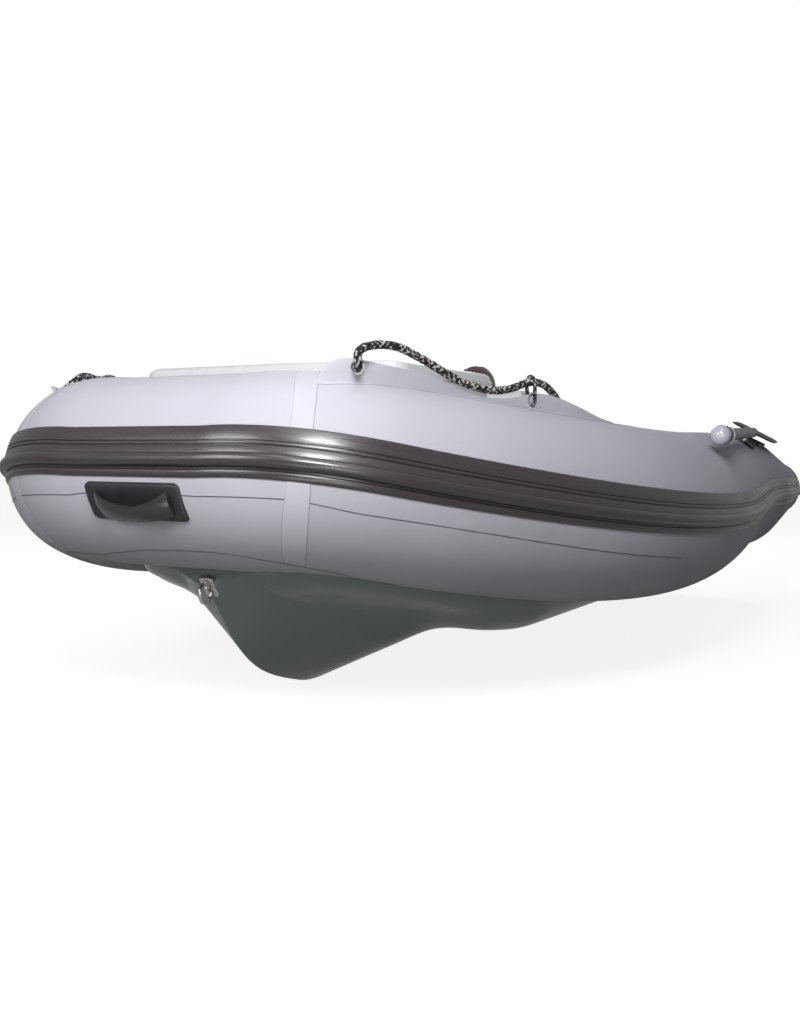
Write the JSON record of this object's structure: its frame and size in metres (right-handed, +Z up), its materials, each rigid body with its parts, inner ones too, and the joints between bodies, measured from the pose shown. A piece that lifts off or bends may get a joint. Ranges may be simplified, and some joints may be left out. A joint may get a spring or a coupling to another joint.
{
  "type": "rigid inflatable boat",
  "caption": "Open rigid-hulled inflatable boat: V hull, grey buoyancy tubes with rub strake and stern cones, bow locker, small helm console, stowed oars and lifelines.",
  "frame": {"origin": "centreline at the middle of the length, on the waterline of the empty boat", "axes": "+X towards the bow, +Y to port, +Z up"},
  "size_m": [3.5087, 1.7826, 0.8449],
  "materials": {
    "tube_fabric": "satin coated fabric",
    "moulded_rubber": "satin moulded rubber",
    "hull_gelcoat": "glossy gelcoat",
    "white_gelcoat": "glossy gelcoat",
    "deck_nonskid": "moulded non-slip",
    "black_plastic": "satin",
    "stainless": "polished",
    "cushion_vinyl": "vinyl",
    "oar_black": "satin",
    "rope": "braided",
    "brass_eyelet": "polished"
  },
  "bodies": {
    "boat": {"bow_eye": "stainless", "bow_handle_base": "moulded_rubber", "bow_handle_grip": "moulded_rubber", "bow_locker": "white_gelcoat", "bow_strake": "moulded_rubber", "bow_tube": "tube_fabric", "compass": "black_plastic", "console": "white_gelcoat", "deck": "deck_nonskid", "drain_plug": "black_plastic", "helm_cushion": "cushion_vinyl", "helm_seat": "white_gelcoat", "hull": "hull_gelcoat", "motor_plate_inner": "black_plastic", "motor_plate_outer": "black_plastic", "port_cone_cap": "moulded_rubber", "port_eyelets": "brass_eyelet", "port_lifeline": "rope", "port_lifeline_strip": "tube_fabric", "port_oar_chock": "moulded_rubber", "port_rope_boss": "moulded_rubber", "port_rowlock": "black_plastic", "port_stern_cone": "tube_fabric", "port_strake": "moulded_rubber", "port_tube": "tube_fabric", "port_valves": "black_plastic", "starboard_cone_cap": "moulded_rubber", "starboard_eyelets": "brass_eyelet", "starboard_lifeline": "rope", "starboard_lifeline_strip": "tube_fabric", "starboard_oar_chock": "moulded_rubber", "starboard_rope_boss": "moulded_rubber", "starboard_rowlock": "black_plastic", "starboard_stern_cone": "tube_fabric", "starboard_strake": "moulded_rubber", "starboard_tube": "tube_fabric", "starboard_valves": "black_plastic", "towing_eyes": "stainless", "transom": "white_gelcoat", "wheel_mount": "stainless"},
    "bow_locker_lid": {"bow_locker_lid": "white_gelcoat"},
    "steering_wheel": {"steering_wheel": "black_plastic"},
    "port_oar": {"port_oar": "oar_black"},
    "starboard_oar": {"starboard_oar": "oar_black"}
  },
  "joints": [
    {"name": "locker_lid_hinge", "type": "hinge", "parent": "boat", "child": "bow_locker_lid", "pos_m": [1.295, 0, 0.574], "axis": [0, 1, 0], "range_deg": [0, 80]},
    {"name": "steering", "type": "hinge", "parent": "boat", "child": "steering_wheel", "pos_m": [-0.13, 0, 0.455], "axis": [-0.9397, 0, 0.342], "range_deg": [-540, 540]},
    {"name": "port_oar_swing", "type": "hinge", "parent": "boat", "child": "port_oar", "pos_m": [-0.64009, 0.69221, 0.48192], "axis": [-0.0283, 0.5275, 0.8491], "range_deg": [-50, 0]},
    {"name": "starboard_oar_swing", "type": "hinge", "parent": "boat", "child": "starboard_oar", "pos_m": [-0.64009, -0.69221, 0.48192], "axis": [-0.0283, -0.5275, 0.8491], "range_deg": [0, 50]}
  ]
}
